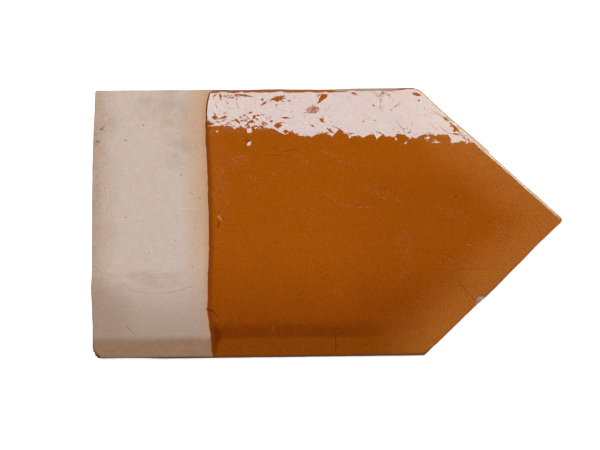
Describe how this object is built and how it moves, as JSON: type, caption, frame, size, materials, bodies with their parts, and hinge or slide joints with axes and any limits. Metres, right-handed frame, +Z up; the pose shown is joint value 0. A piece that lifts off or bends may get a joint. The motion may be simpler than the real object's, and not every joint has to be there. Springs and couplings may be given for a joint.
{
  "type": "fish scale tile",
  "caption": "Flat clay roof tile with a pointed tail, glazed amber brown over its exposed face and bare where the next course covers it.",
  "frame": {"origin": "middle of the tile's box in plan, at the underside", "axes": "+X along the tile towards its point, +Y across it, +Z up out of the glazed face"},
  "size_m": [0.2446, 0.14, 0.005],
  "materials": {
    "amber_glaze": "glossy amber-brown glaze over fired clay",
    "bare_clay": "matte pinkish-beige fired clay"
  },
  "bodies": {
    "root": {"fish_scale_tile": "amber_glaze"}
  },
  "joints": []
}
